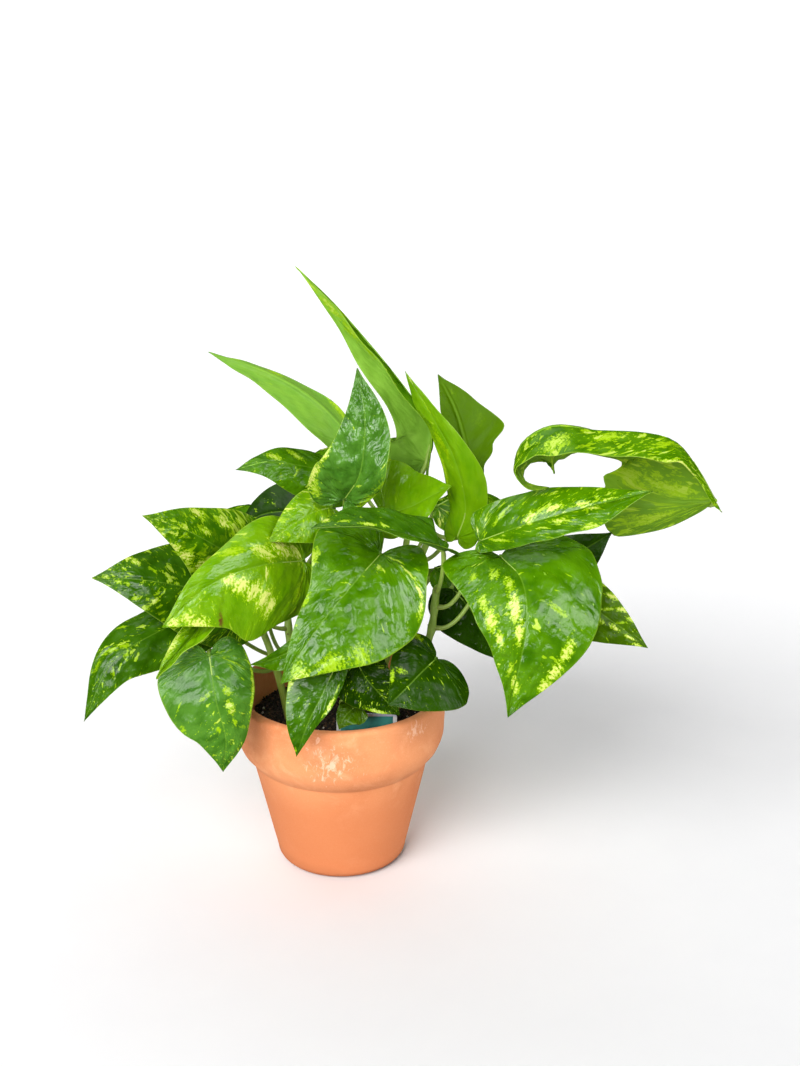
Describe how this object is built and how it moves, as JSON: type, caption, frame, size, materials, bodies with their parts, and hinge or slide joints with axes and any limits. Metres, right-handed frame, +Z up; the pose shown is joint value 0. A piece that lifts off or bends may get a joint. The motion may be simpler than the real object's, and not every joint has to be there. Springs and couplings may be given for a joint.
{
  "type": "potted pothos plant",
  "caption": "Golden pothos with heart-shaped variegated leaves on short vines, growing in a round terracotta pot with a thick rim, with a bare tag in the soil.",
  "frame": {"origin": "middle of the footprint of the whole plant, on the surface that the pot stands on", "axes": "+Z up, -Y towards the viewer of the picture, +X to the right in it"},
  "size_m": [0.4308, 0.2768, 0.4252],
  "materials": {
    "terracotta": "matte fired clay with pale mineral scuffs",
    "soil": "loose dark potting mix",
    "tag": "thin teal plastic with pale edges, blank",
    "leaf": "waxy green with cream and yellow streaks",
    "vine": "smooth yellow-green stem"
  },
  "bodies": {
    "root": {"leaf_back_centre_high": "leaf", "leaf_back_centre_low": "leaf", "leaf_back_left_high": "leaf", "leaf_back_left_low": "leaf", "leaf_back_right_high": "leaf", "leaf_back_right_low": "leaf", "leaf_back_right_top": "leaf", "leaf_centre_narrow": "leaf", "leaf_centre_round": "leaf", "leaf_front_centre": "leaf", "leaf_left_back_dark": "leaf", "leaf_left_behind": "leaf", "leaf_left_front": "leaf", "leaf_left_hanging": "leaf", "leaf_left_inner": "leaf", "leaf_left_low": "leaf", "leaf_left_mid_far": "leaf", "leaf_left_out": "leaf", "leaf_left_small": "leaf", "leaf_left_upper": "leaf", "leaf_low_centre": "leaf", "leaf_low_front": "leaf", "leaf_low_left_small": "leaf", "leaf_low_right_dark": "leaf", "leaf_low_round": "leaf", "leaf_low_tip": "leaf", "leaf_over_centre": "leaf", "leaf_right_behind": "leaf", "leaf_right_curled": "leaf", "leaf_right_dark": "leaf", "leaf_right_front": "leaf", "leaf_right_long": "leaf", "leaf_right_low": "leaf", "leaf_top_left_long": "leaf", "leaf_top_tall": "leaf", "leaf_upright_shiny": "leaf", "plant_tag": "tag", "pot": "terracotta", "soil": "soil", "vine_back_left": "vine", "vine_back_right": "vine", "vine_centre_front": "vine", "vine_left_back": "vine", "vine_left_front": "vine", "vine_right_back": "vine", "vine_right_front": "vine", "vine_top_left": "vine", "vine_top_right": "vine"}
  },
  "joints": []
}
